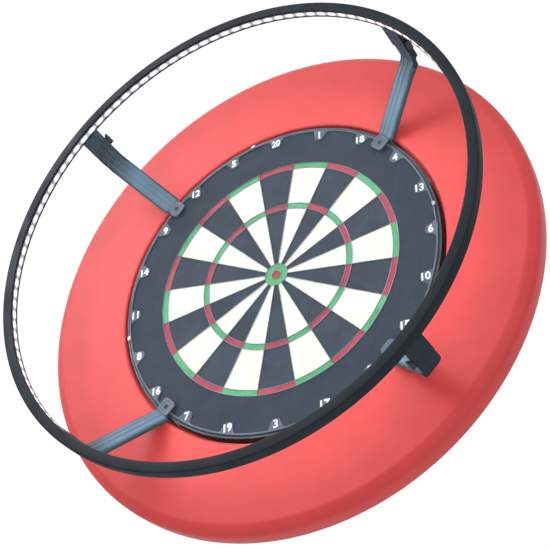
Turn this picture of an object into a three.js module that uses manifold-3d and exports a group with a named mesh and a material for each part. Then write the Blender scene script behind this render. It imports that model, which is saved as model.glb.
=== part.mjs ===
// A bristle dartboard in a foam surround, hung on a wall bracket, with a ring light on four legs.
// Millimetres. It stands as it hangs: +Z up, the playing face towards -Y, the wall at Y = 0.
// Most pieces are made in the face frame: x to the right, y up to the twenty, z out of the playing
// face, whose surface is z = 0. A leg's frame turns that about z, so that its x runs radially outwards.
import * as THREE from "three";
import { mergeVertices } from "three/addons/utils/BufferGeometryUtils.js";
import Module from "manifold-3d";

const wasm = await Module();
wasm.setup();

// ---- driving dimensions ----
const GAP = 0.3; // between pieces that touch
const ROUND = 72; // sides of the large circles
const SMALL = 12; // sides of the small ones

const BOARD_R = 225.5;
const BOARD_DEPTH = 38;
const BACK_BOARD = 9.7;
const BAND = 1.0;
const STAND_OFF = 14; // wall to the back of the board
const FACE_TO_WALL = STAND_OFF + BOARD_DEPTH;

const BEDS = 20;
const BED_ANGLE = (2 * Math.PI) / BEDS;
const BULL_R = 6.35;
const OUTER_BULL_R = 15.9;
const TREBLE_R = [99, 107];
const DOUBLE_R = [162, 170];
const WIRE = 1.0;

const NUMBER_WIRE_R = 220.3;
const NUMBER_WIRE = 1.1; // half its thickness
const BADGE_R = [205, 218.7];
const BADGE_WIDTH = 14;
const BADGE_Z = [0.4, 1.6];
const CLIP_TURN = Math.PI / 20; // the clips sit between two numbers

const SURROUND_R = 346;
const SURROUND_BORE = 230; // in front, where the feet reach in
const SURROUND_GRIP = 226; // behind, where the foam holds the band
const SURROUND_Z = [-34, -1];
const SURROUND_EDGE = 19; // radius of its outer front edge

const RING_R = [311.5, 324.8];
const RING_FRONT = 138.2;
const RING_BACK = [125.0, 122.5]; // at its inner and at its outer edge
const RING_WALL = 1.7;
const RING_WINDOW = [127.3, 134.6]; // the opening that the light leaves by
const LIGHT_SEAM = GAP / RING_R[0] / 2; // half the angle between two quarters

const LEG_TURNS = [45, 135, 225, 315]; // degrees from +x, one leg on each diagonal
const LEG_WIDTH = 26.6;
const LEG_FOOT = [228, 6]; // radius and height where the arm's inner face starts
const LEG_ELBOW = [312.7, 62.8]; // and where it bends forwards
const LEG_OUTER_R = 322.2;
const ARM_THICKNESS = 7;
const RIB_PITCH = 7.5;
const RIB = [4.6, 0.9]; // width and height
const FOOT_WIDTH = 18;
const CAP = 20.5;
const CAP_R = [206.7, 227.4];
const CAP_Z = [4.7, 6.4];
const LIP_DEPTH = 10;
const SOCKET_Z = 86;
const TONGUE_TOP = 115;
const CATCH_STROKE = 2.5;
const CATCH_Z = [87.5, 102.5];

// ---- materials ----
const finish = (color, roughness, metalness = 0) =>
  new THREE.MeshStandardMaterial({ color, roughness, metalness });
const SISAL = () => finish(0x2a2d31, 0.9);
const FIBREBOARD = () => finish(0x6b5138, 0.85);
const STEEL = () => finish(0xb9bdc2, 0.35, 1);
const BLACK_METAL = () => finish(0x2a2d30, 0.5, 0.6);
const FOAM = () => finish(0xd92f3a, 0.75);
const BLACK_PLASTIC = () => finish(0x1d2023, 0.45);
const LEG_PLASTIC = () => finish(0x3b4650, 0.5);
const RUBBER = () => finish(0x17181a, 0.85);
const CLEAR = () => finish(0xf2f5f8, 0.2);
const WHITE_STRIP = () => finish(0xf4f6f8, 0.4);
const NUMBER_WHITE = () => finish(0xe6e8ea, 0.4);

// ---- solids ----
function solid(geometry) {
  const plain = geometry.clone();
  plain.deleteAttribute("normal");
  plain.deleteAttribute("uv");
  const merged = mergeVertices(plain, 1e-4);
  return new wasm.Manifold(
    new wasm.Mesh({
      numProp: 3,
      vertProperties: new Float32Array(merged.attributes.position.array),
      triVerts: new Uint32Array(merged.index.array),
    }),
  );
}

function geometryOf(manifold) {
  const made = manifold.getMesh();
  const geometry = new THREE.BufferGeometry();
  geometry.setAttribute("position", new THREE.BufferAttribute(new Float32Array(made.vertProperties), 3));
  geometry.setIndex(new THREE.BufferAttribute(new Uint32Array(made.triVerts), 1));
  geometry.computeVertexNormals();
  return geometry;
}

const joined = (first, ...others) =>
  geometryOf(others.reduce((whole, other) => whole.add(solid(other)), solid(first)));
const cut = (first, ...tools) =>
  geometryOf(tools.reduce((whole, tool) => whole.subtract(solid(tool)), solid(first)));
const kept = (first, tool) => geometryOf(solid(first).intersect(solid(tool)));

// A body of revolution about z from [radius, z] points, counter-clockwise.
function turned(points, sides = ROUND) {
  const profile = points.map(([r, z]) => new THREE.Vector2(r, z));
  return new THREE.LatheGeometry(profile, sides).rotateX(Math.PI / 2);
}

const ringOf = (r0, r1, z0, z1, sides = ROUND) =>
  turned([[r0, z0], [r1, z0], [r1, z1], [r0, z1], [r0, z0]], sides);
const discOf = (r, z0, z1, sides = ROUND) => turned([[0, z0], [r, z0], [r, z1], [0, z1]], sides);

// A block between two corners.
function block([x0, y0, z0], [x1, y1, z1]) {
  return new THREE.BoxGeometry(x1 - x0, y1 - y0, z1 - z0).translate(
    (x0 + x1) / 2,
    (y0 + y1) / 2,
    (z0 + z1) / 2,
  );
}

// An outline in x and y raised from z0 to z1.
function raised(shape, z0, z1, curveSegments = 4) {
  return new THREE.ExtrudeGeometry(shape, {
    depth: z1 - z0,
    bevelEnabled: false,
    curveSegments,
  }).translate(0, 0, z0);
}

// An outline of radius and height, given width along y: the form of everything on a leg.
function profiled(shape, y0, y1) {
  return new THREE.ExtrudeGeometry(shape, {
    depth: y1 - y0,
    bevelEnabled: false,
    curveSegments: 4,
  })
    .rotateX(Math.PI / 2)
    .translate(0, y1, 0);
}

const outline = (points) => new THREE.Shape(points.map(([x, y]) => new THREE.Vector2(x, y)));

function roundedBox(x0, y0, x1, y1, r) {
  const shape = new THREE.Shape();
  shape.moveTo(x0 + r, y0);
  shape.lineTo(x1 - r, y0);
  shape.absarc(x1 - r, y0 + r, r, -Math.PI / 2, 0);
  shape.lineTo(x1, y1 - r);
  shape.absarc(x1 - r, y1 - r, r, 0, Math.PI / 2);
  shape.lineTo(x0 + r, y1);
  shape.absarc(x0 + r, y1 - r, r, Math.PI / 2, Math.PI);
  shape.lineTo(x0, y0 + r);
  shape.absarc(x0 + r, y0 + r, r, Math.PI, 1.5 * Math.PI);
  return shape;
}

// The part of a body between two angles about z, in radians.
function sector(geometry, from, to) {
  const reach = 2 * SURROUND_R;
  const middle = (from + to) / 2;
  const points = [[0, 0], ...[from, middle, to].map((a) => [reach * Math.cos(a), reach * Math.sin(a)])];
  return kept(geometry, raised(outline(points), -SURROUND_R, SURROUND_R));
}

// ---- the scene graph ----
const part = new THREE.Group();
const face = new THREE.Group();
face.rotation.x = Math.PI / 2;
face.position.y = -FACE_TO_WALL;
part.add(face);

function place(name, geometry, material, parent = face) {
  const mesh = new THREE.Mesh(geometry, material);
  mesh.name = name;
  parent.add(mesh);
  return mesh;
}

// ---- wall bracket: a plate on the wall with a stood-off slot that the hanging screw drops into ----
const PLATE = { halfWidth: 35, halfHeight: 50, thickness: 2.5, corner: 8, hole: 2.75 };
const HANGER = { halfWidth: 18, bottom: -26, top: 20, wall: 2, front: -41 };
const SCREW = { shank: 2.5, head: 6, headBack: -47.4, headFront: -43.4, tip: -30 };

function wallBracket() {
  const wall = -FACE_TO_WALL;
  const plateFront = wall + PLATE.thickness;
  const { halfWidth: w, halfHeight: h } = PLATE;
  const plate = raised(roundedBox(-w, -h, w, h, PLATE.corner), wall, plateFront);
  const outer = block(
    [-HANGER.halfWidth, HANGER.bottom, wall + 1],
    [HANGER.halfWidth, HANGER.top, HANGER.front],
  );
  const inner = block(
    [-HANGER.halfWidth + HANGER.wall, HANGER.bottom + HANGER.wall, plateFront],
    [HANGER.halfWidth - HANGER.wall, HANGER.top + 1, HANGER.front - HANGER.wall],
  );
  const slotHalf = SCREW.shank + GAP;
  const slot = new THREE.Shape();
  slot.moveTo(slotHalf, 0);
  slot.lineTo(slotHalf, HANGER.top / 2);
  slot.lineTo(3 * slotHalf, HANGER.top + 1);
  slot.lineTo(-3 * slotHalf, HANGER.top + 1);
  slot.lineTo(-slotHalf, HANGER.top / 2);
  slot.lineTo(-slotHalf, 0);
  slot.absarc(0, 0, slotHalf, Math.PI, 2 * Math.PI);
  const slotCut = raised(slot, HANGER.front - HANGER.wall - 1, HANGER.front + 1);
  const holes = [[-24, 38], [24, 38], [0, -40]].map(([x, y]) =>
    discOf(PLATE.hole, wall - 1, plateFront + 1, SMALL).translate(x, y, 0),
  );
  const hanger = cut(outer, inner, slotCut);
  place("wall_bracket", cut(joined(plate, hanger), ...holes), BLACK_METAL());
}

// ---- board ----
function board() {
  const inside = BOARD_R - BAND - GAP;
  const backFront = -BOARD_DEPTH + BACK_BOARD;
  const bore = SCREW.shank + GAP;
  place("sisal_face", discOf(inside, backFront + GAP, 0), SISAL());
  const backBoard = turned([
    [bore, -BOARD_DEPTH],
    [inside, -BOARD_DEPTH],
    [inside, backFront],
    [0, backFront],
    [0, SCREW.tip + GAP],
    [bore, SCREW.tip + GAP],
    [bore, -BOARD_DEPTH],
  ]);
  place("back_board", backBoard, FIBREBOARD());
  place("steel_band", ringOf(BOARD_R - BAND, BOARD_R, -BOARD_DEPTH, 0), BLACK_METAL());

  const plate = raised(roundedBox(-30, -30, 30, 30, 6), -BOARD_DEPTH - 1.8, -BOARD_DEPTH - GAP);
  const plateHole = discOf(bore, -BOARD_DEPTH - 3, -BOARD_DEPTH, SMALL);
  place("fixing_plate", cut(plate, plateHole), STEEL());
  const screw = turned(
    [
      [0, SCREW.headBack],
      [SCREW.head * 0.7, SCREW.headBack],
      [SCREW.head, SCREW.headFront - 1.6],
      [SCREW.head, SCREW.headFront],
      [SCREW.shank, SCREW.headFront],
      [SCREW.shank, SCREW.tip],
      [0, SCREW.tip],
    ],
    SMALL,
  );
  place("hanging_screw", screw, STEEL());
  const bumperReach = 190;
  [90, 210, 330].forEach((turn, i) => {
    const a = THREE.MathUtils.degToRad(turn);
    const bumper = turned(
      [
        [0, -FACE_TO_WALL + GAP],
        [9, -FACE_TO_WALL + GAP],
        [12, -BOARD_DEPTH - GAP],
        [0, -BOARD_DEPTH - GAP],
      ],
      SMALL,
    ).translate(bumperReach * Math.cos(a), bumperReach * Math.sin(a), 0);
    place(`rear_bumper_${i + 1}`, bumper, RUBBER());
  });
}

// ---- spider: one welded web, the blades between the beds and the rings across them ----
// What is left open is what is described: the cells that the beds show through.
function cell(r0, r1, from, to, steps) {
  const half = WIRE / 2;
  const arc = (r) => {
    const inset = Math.asin(half / r);
    return Array.from({ length: steps + 1 }, (_, i) => {
      const a = from + inset + ((to - from - 2 * inset) * i) / steps;
      return [r * Math.cos(a), r * Math.sin(a)];
    });
  };
  return outline([...arc(r0 + half), ...arc(r1 - half).reverse()]);
}

function spider() {
  const openings = [];
  const radii = [OUTER_BULL_R, ...TREBLE_R, ...DOUBLE_R];
  for (let i = 0; i < BEDS; i += 1) {
    const from = (i - 0.5) * BED_ANGLE;
    radii.slice(1).forEach((r, k) => openings.push(cell(radii[k], r, from, from + BED_ANGLE, 2)));
  }
  // The bull's own ring hangs on four spokes from the outer one.
  for (let i = 0; i < 4; i += 1) {
    const from = ((i + 0.5) * Math.PI) / 2;
    openings.push(cell(BULL_R, OUTER_BULL_R, from, from + Math.PI / 2, 4));
  }
  const tools = openings.map((opening) => raised(opening, 0, 2 * WIRE));
  const bull = discOf(BULL_R - WIRE / 2, 0, 2 * WIRE, BEDS);
  const plate = discOf(DOUBLE_R[1] + WIRE / 2, GAP, GAP + WIRE, 3 * BEDS);
  place("spider", cut(plate, bull, ...tools), STEEL());
}

// ---- number ring: a wire carrying twenty badges, held by four clips that it can turn under ----
function numberRing() {
  const middle = NUMBER_WIRE + GAP;
  const wire = Array.from({ length: 7 }, (_, i) => {
    const a = (i * Math.PI) / 3 + Math.PI / 6;
    return [NUMBER_WIRE_R + NUMBER_WIRE * Math.cos(a), middle + NUMBER_WIRE * Math.sin(a)];
  });
  const badges = Array.from({ length: BEDS }, (_, i) => {
    const half = BADGE_WIDTH / 2;
    const link = block([BADGE_R[1] - 1, -3, 0.9], [NUMBER_WIRE_R - 0.4, 3, 1.9]);
    const badge = raised(outline([
      [BADGE_R[0] + 3, -half],
      [BADGE_R[1], -half],
      [BADGE_R[1], half],
      [BADGE_R[0] + 3, half],
      [BADGE_R[0], half - 3],
      [BADGE_R[0], 3 - half],
    ]), ...BADGE_Z);
    return joined(badge, link).rotateZ(i * BED_ANGLE);
  });
  place("number_ring", joined(turned(wire, 3 * BEDS), ...badges), NUMBER_WHITE());

  for (let i = 0; i < 4; i += 1) {
    const strap = outline([
      [NUMBER_WIRE_R + 2.2, GAP],
      [NUMBER_WIRE_R + 3.6, GAP],
      [NUMBER_WIRE_R + 3.6, 3.7],
      [NUMBER_WIRE_R - 0.6, 3.7],
      [NUMBER_WIRE_R - 0.6, 3.0],
      [NUMBER_WIRE_R + 2.2, 3.0],
    ]);
    const clip = profiled(strap, -3, 3).rotateZ(CLIP_TURN + (i * Math.PI) / 2);
    place(`number_ring_clip_${i + 1}`, clip, STEEL());
  }
}

// ---- surround: foam, gripping the band behind and open by a finger's width in front ----
function surround() {
  const [back, front] = SURROUND_Z;
  const arc = (cx, cz, r, from, to, steps) =>
    Array.from({ length: steps + 1 }, (_, i) => {
      const a = from + ((to - from) * i) / steps;
      return [cx + r * Math.cos(a), cz + r * Math.sin(a)];
    });
  const mouth = 5;
  const heel = 4;
  const profile = [
    [SURROUND_GRIP, back],
    ...arc(SURROUND_R - heel, back + heel, heel, -Math.PI / 2, 0, 2),
    ...arc(SURROUND_R - SURROUND_EDGE, front - SURROUND_EDGE, SURROUND_EDGE, 0, Math.PI / 2, 4),
    ...arc(SURROUND_BORE + mouth, front - mouth, mouth, Math.PI / 2, Math.PI, 2),
    [SURROUND_BORE, -LIP_DEPTH - 3],
    [SURROUND_GRIP, -LIP_DEPTH - 3],
    [SURROUND_GRIP, back],
  ];
  place("surround", turned(profile), FOAM());
}

// ---- ring light ----
const QUARTER = Math.PI / 2;

// Height of the ring's sloping back at a radius.
const ringBack = (r) =>
  RING_BACK[0] + ((RING_BACK[1] - RING_BACK[0]) * (r - RING_R[0])) / (RING_R[1] - RING_R[0]);

function ringLight() {
  const [r0, r1] = RING_R;
  const [low, high] = RING_WINDOW;
  const lip = r0 + 1.8;
  const shell = turned([
    [r0, ringBack(r0) + 0.8],
    [r0 + 0.8, ringBack(r0 + 0.8)],
    [r1 - 1.4, ringBack(r1 - 1.4)],
    [r1, ringBack(r1) + 1.4],
    [r1, RING_FRONT - 1.6],
    [r1 - 1.6, RING_FRONT],
    [r0 + 1, RING_FRONT],
    [r0, RING_FRONT - 1],
    [r0, high],
    [lip, high],
    [lip, RING_FRONT - RING_WALL],
    [r1 - RING_WALL, RING_FRONT - RING_WALL],
    [r1 - RING_WALL, ringBack(r1 - RING_WALL) + RING_WALL],
    [lip, ringBack(lip) + RING_WALL],
    [lip, low],
    [r0, low],
    [r0, ringBack(r0) + 0.8],
  ]);
  const stripZ = [ringBack(lip + 1.3) + RING_WALL + GAP, RING_FRONT - RING_WALL - GAP];
  const strip = ringOf(lip + 1.3, lip + 2.1, ...stripZ);
  const cover = ringOf(r0 + 0.4, r0 + 1.4, low + GAP, high - GAP);
  const joiner = ringOf(lip + 4, r1 - RING_WALL - 0.6, 126.6, RING_FRONT - RING_WALL - GAP);
  const joinerHalf = THREE.MathUtils.degToRad(5);
  LEG_TURNS.forEach((turn, i) => {
    const from = THREE.MathUtils.degToRad(turn);
    const quarter = [from + LIGHT_SEAM, from + QUARTER - LIGHT_SEAM];
    place(`ring_segment_${i + 1}`, sector(shell, ...quarter), BLACK_PLASTIC());
    place(`led_strip_${i + 1}`, sector(strip, ...quarter), WHITE_STRIP());
    place(`light_cover_${i + 1}`, sector(cover, ...quarter), CLEAR());
    place(`ring_joiner_${i + 1}`, sector(joiner, from - joinerHalf, from + joinerHalf), BLACK_PLASTIC());
  });
}

// ---- legs: each with its foot on the rim, its socket under the ring and the catch in the socket ----
const armSlope = (LEG_ELBOW[1] - LEG_FOOT[1]) / (LEG_ELBOW[0] - LEG_FOOT[0]);
const armLength = Math.hypot(LEG_ELBOW[0] - LEG_FOOT[0], LEG_ELBOW[1] - LEG_FOOT[1]);
const armTurn = Math.atan(armSlope);
const TONGUE = { inner: 315.3, outer: 319.5, halfWidth: 9 };
const NOTCH_DEPTH = 2.8;
const FOOT_PLATE_Z = [3.2, 4.4];
const LIP_R = [227.1, 228.6];
const FOOT_SCREW = { r: (CAP_R[0] + CAP_R[1]) / 2, shank: 1.3, head: 3.2 };

function legBody() {
  const [plateLow, plateHigh] = FOOT_PLATE_Z;
  const underStart = [
    LEG_FOOT[0] + ARM_THICKNESS * Math.sin(armTurn),
    LEG_FOOT[1] - ARM_THICKNESS * Math.cos(armTurn),
  ];
  const under = (r) => underStart[1] + (r - underStart[0]) * armSlope;
  const arm = new THREE.Shape();
  arm.moveTo(LEG_FOOT[0], underStart[1]);
  arm.lineTo(...underStart);
  arm.lineTo(LEG_OUTER_R - 8, under(LEG_OUTER_R - 8));
  arm.quadraticCurveTo(LEG_OUTER_R, under(LEG_OUTER_R), LEG_OUTER_R, under(LEG_OUTER_R) + 10);
  arm.lineTo(LEG_OUTER_R, SOCKET_Z - GAP);
  arm.lineTo(LEG_ELBOW[0], SOCKET_Z - GAP);
  arm.lineTo(...LEG_ELBOW);
  arm.lineTo(...LEG_FOOT);
  const half = LEG_WIDTH / 2;
  // The arm's inner face sits back by a rib's height, and the three ribs bring it out again.
  const recess = block([3, -half + 1.6, -RIB[1]], [armLength - 2, half - 1.6, RIB[1]]);
  const ribs = [-RIB_PITCH, 0, RIB_PITCH].map((y) =>
    block([2, y - RIB[0] / 2, -RIB[1] - 1], [armLength - 1, y + RIB[0] / 2, 0]),
  );
  const alongArm = (geometry) => geometry.rotateY(-armTurn).translate(LEG_FOOT[0], 0, LEG_FOOT[1]);
  const ribbed = joined(
    cut(profiled(arm, -half, half), alongArm(recess)),
    ...ribs.map(alongArm),
  );
  const footHalf = FOOT_WIDTH / 2;
  const foot = profiled(
    outline([
      [CAP_R[0] + 1.5, plateLow],
      [LIP_R[0], plateLow],
      [LIP_R[0], -LIP_DEPTH],
      [LIP_R[1], -LIP_DEPTH],
      [LIP_R[1], plateLow - 1],
      [LIP_R[1] + 2, plateHigh],
      [CAP_R[0] + 1.5, plateHigh],
    ]),
    -footHalf,
    footHalf,
  );
  const tongue = block(
    [TONGUE.inner, -TONGUE.halfWidth, SOCKET_Z - 4],
    [TONGUE.outer, TONGUE.halfWidth, TONGUE_TOP],
  );
  const notch = block(
    [TONGUE.inner - 1, -TONGUE.halfWidth - 1, 90],
    [TONGUE.outer + 1, -TONGUE.halfWidth + NOTCH_DEPTH, 100],
  );
  const bore = discOf(FOOT_SCREW.shank + GAP, plateLow - 1, plateHigh + 1, SMALL);
  const screwHole = bore.translate(FOOT_SCREW.r, 0, 0);
  return cut(joined(ribbed, foot, tongue), notch, screwHole);
}

function footPieces(index, frame) {
  const [low, high] = CAP_Z;
  const half = CAP / 2;
  const seat = high - 0.9;
  const pad = raised(roundedBox(CAP_R[0], -half, CAP_R[1], half, 5.5), low, high);
  const recess = discOf(FOOT_SCREW.head + 0.4, seat, high + 1, SMALL).translate(FOOT_SCREW.r, 0, 0);
  const hole = discOf(FOOT_SCREW.shank + GAP, low - 1, seat + 1, SMALL).translate(FOOT_SCREW.r, 0, 0);
  place(`foot_cap_${index}`, cut(pad, recess, hole), LEG_PLASTIC(), frame);
  const screw = turned(
    [
      [0, FOOT_PLATE_Z[0] + 0.2],
      [FOOT_SCREW.shank, FOOT_PLATE_Z[0] + 0.2],
      [FOOT_SCREW.shank, seat + 0.1],
      [FOOT_SCREW.head, seat + 0.1],
      [FOOT_SCREW.head, high - 0.1],
      [0, high - 0.1],
    ],
    SMALL,
  ).translate(FOOT_SCREW.r, 0, 0);
  place(`foot_screw_${index}`, screw, STEEL(), frame);
  const rubberHalf = FOOT_WIDTH / 2;
  const grip = outline([
    [222.6, GAP],
    [BOARD_R + GAP, GAP],
    [BOARD_R + GAP, 2 - LIP_DEPTH],
    [LIP_R[0] - GAP, 2 - LIP_DEPTH],
    [LIP_R[0] - GAP, FOOT_PLATE_Z[0] - GAP],
    [222.6, FOOT_PLATE_Z[0] - GAP],
  ]);
  place(`rim_grip_${index}`, profiled(grip, -rubberHalf, rubberHalf), RUBBER(), frame);
}

// The catch lies on the clockwise side, so at negative y in the leg's frame.
function socketAndCatch(index, frame) {
  const half = LEG_WIDTH / 2;
  const side = -half;
  const top = (r) => ringBack(r) - GAP;
  const body = profiled(
    outline([
      [LEG_ELBOW[0], SOCKET_Z],
      [LEG_OUTER_R, SOCKET_Z],
      [LEG_OUTER_R, top(LEG_OUTER_R)],
      [LEG_ELBOW[0], top(LEG_ELBOW[0])],
    ]),
    -half,
    half,
  );
  const cavity = block(
    [TONGUE.inner - GAP, -TONGUE.halfWidth - GAP, SOCKET_Z - 1],
    [TONGUE.outer + GAP, TONGUE.halfWidth + GAP, TONGUE_TOP + 3],
  );
  const thumb = { r: [314.5, 320.5], stem: [316, 319], stemZ: [92, 98], reach: 5.6 };
  const pocket = block(
    [thumb.r[0] - GAP, side - 1, CATCH_Z[0] - GAP],
    [thumb.r[1] + GAP, side + CATCH_STROKE + GAP, CATCH_Z[1] + GAP],
  );
  const passage = block(
    [thumb.stem[0] - GAP, side - 1, thumb.stemZ[0] - GAP],
    [thumb.stem[1] + GAP, -TONGUE.halfWidth + 1, thumb.stemZ[1] + GAP],
  );
  place(`socket_${index}`, cut(body, cavity, pocket, passage), BLACK_PLASTIC(), frame);

  const inside = side - GAP;
  const outside = inside - thumb.reach;
  const wedge = outline([
    [inside, CATCH_Z[0]],
    [inside, CATCH_Z[1] - 5],
    [outside + 1.5, CATCH_Z[1]],
    [outside, CATCH_Z[1]],
    [outside, CATCH_Z[0]],
  ]);
  // The outline lies in y and z, so it is raised along x.
  const tab = new THREE.ExtrudeGeometry(wedge, { depth: thumb.r[1] - thumb.r[0], bevelEnabled: false })
    .rotateX(Math.PI / 2)
    .rotateZ(Math.PI / 2)
    .translate(thumb.r[0], 0, 0);
  const stem = block(
    [thumb.stem[0], inside - 1, thumb.stemZ[0]],
    [thumb.stem[1], -TONGUE.halfWidth - 0.9, thumb.stemZ[1]],
  );
  place(`catch_${index}`, joined(tab, stem), LEG_PLASTIC(), frame);
}

function legs() {
  const body = legBody();
  LEG_TURNS.forEach((turn, i) => {
    const frame = new THREE.Group();
    frame.rotation.z = THREE.MathUtils.degToRad(turn);
    face.add(frame);
    place(`leg_${i + 1}`, body.clone(), LEG_PLASTIC(), frame);
    footPieces(i + 1, frame);
    socketAndCatch(i + 1, frame);
  });
}

// ---- DC inlet: a barrel jack on the back of the ring beside the lower left leg ----
function dcInlet() {
  const turn = THREE.MathUtils.degToRad(235);
  const reach = 317.5;
  const top = ringBack(reach + 6) - GAP;
  const body = ringOf(3.2, 5.5, top - 12, top - 3, SMALL);
  const floor = discOf(5.5, top - 3.5, top, SMALL);
  const jack = joined(body, floor).translate(reach * Math.cos(turn), reach * Math.sin(turn), 0);
  place("dc_inlet", jack, BLACK_PLASTIC());
}

wallBracket();
board();
spider();
numberRing();
surround();
ringLight();
legs();
dcInlet();

export default part;
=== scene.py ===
"""The looks of a bristle dartboard with a foam surround and a ring light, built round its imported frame.

Shapes are worked out in the face frame: millimetres, x to the right, y up to the twenty, z out of the
playing face, whose surface is z = 0. A leg's frame is (radius, across, z), turned about z to its place.
"""
import logging
from collections.abc import Sequence
from dataclasses import dataclass, field
from enum import Enum
from typing import Any

import bmesh
import bpy
import numpy as np
from mathutils import Matrix, Vector


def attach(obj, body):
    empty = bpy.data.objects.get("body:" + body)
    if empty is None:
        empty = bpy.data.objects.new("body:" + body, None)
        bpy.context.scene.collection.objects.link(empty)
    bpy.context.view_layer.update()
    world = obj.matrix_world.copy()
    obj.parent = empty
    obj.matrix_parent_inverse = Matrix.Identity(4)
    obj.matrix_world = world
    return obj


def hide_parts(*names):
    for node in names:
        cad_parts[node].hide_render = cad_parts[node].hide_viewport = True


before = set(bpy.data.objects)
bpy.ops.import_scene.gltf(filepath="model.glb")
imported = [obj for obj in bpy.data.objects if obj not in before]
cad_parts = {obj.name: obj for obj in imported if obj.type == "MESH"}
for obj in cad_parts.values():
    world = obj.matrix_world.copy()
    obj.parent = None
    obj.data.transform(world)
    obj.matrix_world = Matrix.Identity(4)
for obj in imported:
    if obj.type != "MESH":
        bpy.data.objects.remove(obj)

LOG = logging.getLogger("dartboard")
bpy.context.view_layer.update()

Colour = tuple[float, float, float]
Array = np.ndarray

# Lengths are in millimetres and turns in degrees, apart from the two turns in radians that come first and
# WELD_REACH, which is in metres.
FULL_TURN = 2.0 * np.pi
QUARTER = 0.5 * np.pi
FACE_TO_WALL = 52.0
SECTOR = 18.0
RIB_PITCH = 7.5
LEG_TURNS = (45.0, 135.0, 225.0, 315.0)
EDGE_WIDTH = 0.25
EDGE_STEPS = 2
FLAT_TURN = 1.0
SHARP_TURN = 28.0
CREASE_TURN = 35.0
WELD_REACH = 2e-6
CLOCK_ORDER = (20, 1, 18, 4, 13, 6, 10, 15, 2, 17, 3, 19, 7, 16, 8, 11, 14, 9, 12, 5)


class Bed(Enum):
    """The sorts of sisal on the playing face, as places in its list of materials."""

    BLACK = 0
    CREAM = 1
    RED = 2
    GREEN = 3
    BORDER = 4


# Surfaces


@dataclass
class Shell:
    """A surface in the face frame.

    points is (N, 3), quads is (M, 4), caps are the closing faces, sorts gives each quad's material and
    marks holds one number for each point under each attribute's name.
    """

    points: Array
    quads: Array
    caps: list[list[int]] = field(default_factory=list)
    sorts: Array | None = None
    marks: dict[str, Array] = field(default_factory=dict)

    def volume(self) -> float:
        """Returns the signed volume: the sum over triangles of a . (b x c) / 6."""
        fans = [np.array([[c[0], c[k], c[k + 1]] for k in range(1, len(c) - 1)]) for c in self.caps]
        triangles = np.concatenate([self.quads[:, [0, 1, 2]], self.quads[:, [0, 2, 3]], *fans])
        a, b, c = (self.points[triangles[:, k]] for k in range(3))
        return float(np.einsum("ij,ij->i", a, np.cross(b, c)).sum() / 6.0)

    def outward(self) -> "Shell":
        """Returns the same surface with its faces pointing out."""
        if self.volume() < 0.0:
            self.quads = self.quads[:, ::-1]
            self.caps = [cap[::-1] for cap in self.caps]
        return self

    def turned(self, degrees: float) -> "Shell":
        """Returns a copy turned about the face's axis: x' = x cos a - y sin a, y' = x sin a + y cos a."""
        a = np.deg2rad(degrees)
        spin = np.array([[np.cos(a), -np.sin(a), 0.0], [np.sin(a), np.cos(a), 0.0], [0.0, 0.0, 1.0]])
        return Shell(self.points @ spin.T, self.quads, self.caps, self.sorts, self.marks)

    def shifted(self, x: float, y: float) -> "Shell":
        """Returns a copy moved across the face by (x, y)."""
        return Shell(self.points + np.array([x, y, 0.0]), self.quads, self.caps, self.sorts, self.marks)


def merged(shells: Sequence[Shell]) -> Shell:
    """Puts several closed surfaces into one.

    Args:
        shells: the surfaces; those without a mark get zero for it.

    Returns:
        One surface that holds them all, each with its faces pointing out.
    """
    shells = [shell.outward() for shell in shells]
    starts = np.cumsum([0] + [len(shell.points) for shell in shells])
    names = sorted({name for shell in shells for name in shell.marks})
    sorts = [np.zeros(len(s.quads), int) if s.sorts is None else s.sorts for s in shells]
    return Shell(
        np.concatenate([shell.points for shell in shells]),
        np.concatenate([shell.quads + start for shell, start in zip(shells, starts)]),
        [[k + start for k in cap] for shell, start in zip(shells, starts) for cap in shell.caps],
        np.concatenate(sorts),
        {n: np.concatenate([s.marks.get(n, np.zeros(len(s.points))) for s in shells]) for n in names},
    )


def grid(block: Array, loop: bool, around: bool = True, capped: bool = False) -> Shell:
    """Joins a block of points with quads between neighbouring stations and profile points.

    Args:
        block: points as (stations, profile points, 3).
        loop: whether the last station joins the first.
        around: whether the last profile point joins the first.
        capped: whether the first and the last station are closed with a face.

    Returns:
        The surface.
    """
    m, n = block.shape[:2]
    i, j = np.meshgrid(np.arange(m if loop else m - 1), np.arange(n if around else n - 1), indexing="ij")
    here, ahead = i * n, ((i + 1) % m) * n
    quads = np.stack([here + j, ahead + j, ahead + (j + 1) % n, here + (j + 1) % n], axis=-1)
    caps = [list(range(n)), list(range(m * n - 1, (m - 1) * n - 1, -1))] if capped else []
    return Shell(block.reshape(-1, 3), quads.reshape(-1, 4), caps)


def lathe(profile: Array, steps: int = 240, start: float = 0.0, sweep: float = FULL_TURN) -> Shell:
    """Carries a profile round the face's axis: point = (r cos a, r sin a, z).

    Args:
        profile: (n, 2) radii and heights; open if it starts and ends on the axis, closed otherwise.
        steps: stations round the sweep.
        start: first angle in radians.
        sweep: angle covered; less than a full turn gives the surface two end faces.

    Returns:
        The surface.
    """
    whole = bool(np.isclose(sweep, FULL_TURN))
    a = start + np.linspace(0.0, sweep, steps, endpoint=not whole)
    r, z = profile[:, 0], profile[:, 1]
    block = np.stack(
        [np.outer(np.cos(a), r), np.outer(np.sin(a), r), np.broadcast_to(z, (len(a), len(z)))], axis=-1
    )
    return grid(block, loop=whole, around=bool(r[0] > 1e-6), capped=not whole)


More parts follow.
